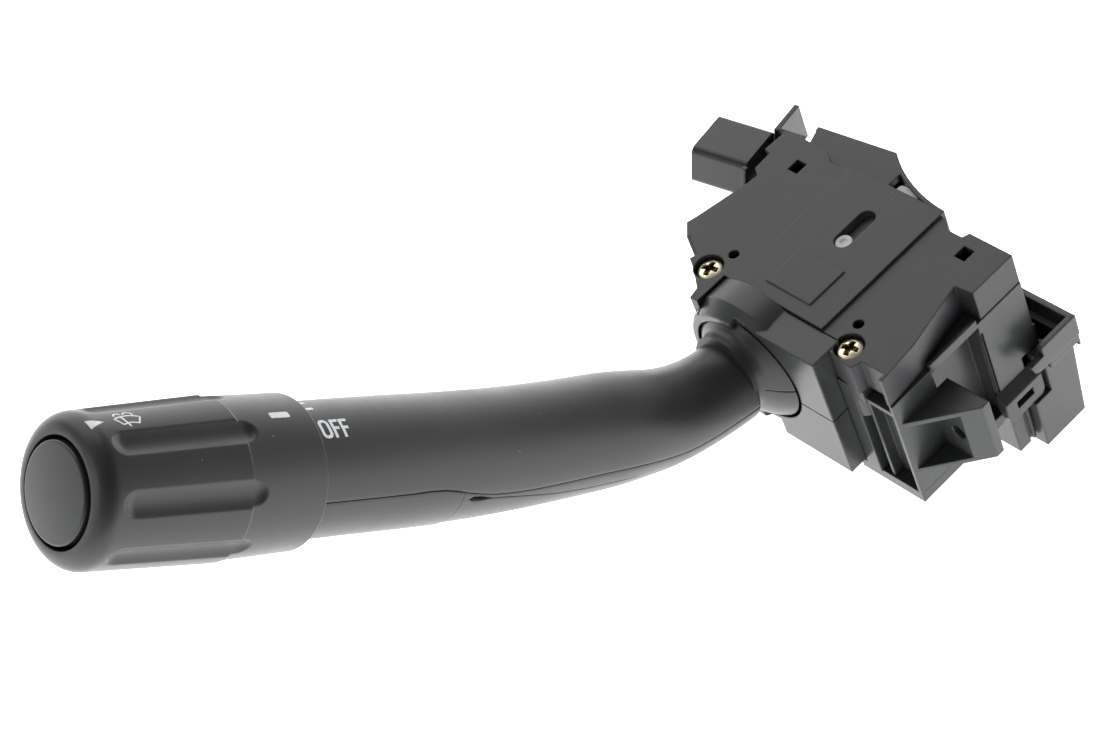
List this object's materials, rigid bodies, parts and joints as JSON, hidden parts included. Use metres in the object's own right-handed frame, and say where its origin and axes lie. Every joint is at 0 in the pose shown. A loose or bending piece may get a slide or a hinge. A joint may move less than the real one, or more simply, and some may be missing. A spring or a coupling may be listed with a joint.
{
  "type": "combination stalk switch",
  "caption": "Steering-column combination switch: housing with hazard button, lever with turning wiper knob, washer button, cancelling pawl and harness socket.",
  "frame": {"origin": "on the base plate's underside, below the switch case's front wall, on the housing's centre plane", "axes": "+X into the housing away from the lever, +Y towards the hazard button's side, +Z towards the driver"},
  "size_m": [0.2508, 0.1231, 0.1863],
  "materials": {
    "cover_plastic": "fine-grained matte, dark grey",
    "case_plastic": "moulded, satin dark grey",
    "lever_plastic": "smooth satin, near black",
    "button_plastic": "fine satin black",
    "screw_metal": "yellow passivated, satin",
    "nylon_natural": "natural nylon, slightly translucent",
    "nylon_grey": "acetal, satin",
    "bracket_steel": "stamped, dull",
    "pin_steel": "ground",
    "spring_steel": "drawn wire",
    "contact_brass": "rolled strip",
    "board_laminate": "phenolic laminate",
    "connector_plastic": "moulded, matte"
  },
  "bodies": {
    "housing": {"upper_cover": "cover_plastic", "switch_case": "case_plastic", "base_plate": "case_plastic", "hood_upper": "case_plastic", "hood_lower": "case_plastic", "cover_screws": "screw_metal", "pivot_bracket": "bracket_steel", "detent_plate": "nylon_grey", "contact_board": "board_laminate", "contact_strips": "contact_brass", "dimmer_switch": "nylon_grey", "hazard_housing": "cover_plastic", "hazard_spring": "spring_steel", "harness_connector": "connector_plastic", "connector_pins": "contact_brass", "lower_connector": "connector_plastic", "pawl_spring": "spring_steel"},
    "carrier": {"turn_carrier": "nylon_natural", "tilt_pin": "pin_steel"},
    "lever": {"lever_arm": "nylon_grey", "lever_bell": "lever_plastic", "lever_upper_shell": "lever_plastic", "lever_lower_shell": "lever_plastic", "wire_cover": "lever_plastic", "knob_spindle": "nylon_grey", "wiper_board": "board_laminate", "washer_switch": "nylon_grey", "detent_spring": "spring_steel", "washer_spring": "spring_steel"},
    "detent_pin": {"detent_plunger": "nylon_grey"},
    "knob": {"wiper_knob": "lever_plastic", "wiper_rotor": "contact_brass"},
    "washer": {"washer_button": "button_plastic"},
    "pusher": {"dimmer_pusher": "nylon_natural"},
    "slider": {"turn_slider": "nylon_grey", "turn_contacts": "contact_brass"},
    "pawl": {"cancel_pawl": "nylon_natural"},
    "hazard": {"hazard_button": "button_plastic"}
  },
  "joints": [
    {"name": "turn_signal", "type": "hinge", "parent": "housing", "child": "carrier", "pos_m": [0.0055, 0.0072, 0.0303], "axis": [0, 0, 1], "range_deg": [-7.5, 7.5]},
    {"name": "dimmer_pull", "type": "hinge", "parent": "carrier", "child": "lever", "pos_m": [0.0055, 0.0072, 0.0303], "axis": [0, 1, 0], "range_deg": [0, 4.5], "stiffness_Nm_per_rad": 6, "springref_deg": -3.44},
    {"name": "detent_press", "type": "slide", "parent": "lever", "child": "detent_pin", "axis": [-1, 0, 0], "range_m": [0, 0.001], "stiffness_N_per_m": 1500, "springref_m": -0.001, "deforming": ["detent_spring"]},
    {"name": "wiper_turn", "type": "hinge", "parent": "lever", "child": "knob", "pos_m": [-0.13128, 0.0072, 0.11653], "axis": [-0.7373, 0, 0.6756], "range_deg": [0, 42]},
    {"name": "washer_press", "type": "slide", "parent": "lever", "child": "washer", "axis": [0.7373, 0, -0.6756], "range_m": [0, 0.0025], "stiffness_N_per_m": 600, "springref_m": -0.002, "deforming": ["washer_spring"]},
    {"name": "dimmer_push", "type": "slide", "parent": "carrier", "child": "pusher", "axis": [0, 0, 1], "range_m": [-0.0016, 0]},
    {"name": "contact_slide", "type": "slide", "parent": "housing", "child": "slider", "axis": [0, 1, 0], "range_m": [-0.0019, 0.0019]},
    {"name": "cancel_slide", "type": "slide", "parent": "housing", "child": "pawl", "axis": [1, 0, 0], "range_m": [0, 0.0085], "stiffness_N_per_m": 150, "springref_m": -0.004, "deforming": ["pawl_spring"]},
    {"name": "hazard_press", "type": "slide", "parent": "housing", "child": "hazard", "axis": [0.3013, -0.9352, -0.1858], "range_m": [0, 0.004], "stiffness_N_per_m": 500, "springref_m": -0.003, "deforming": ["hazard_spring"]}
  ],
  "couplings": [
    {"joint": "dimmer_push", "follows": "dimmer_pull", "m_per_rad": -0.019},
    {"joint": "contact_slide", "follows": "turn_signal", "m_per_rad": 0.014}
  ]
}
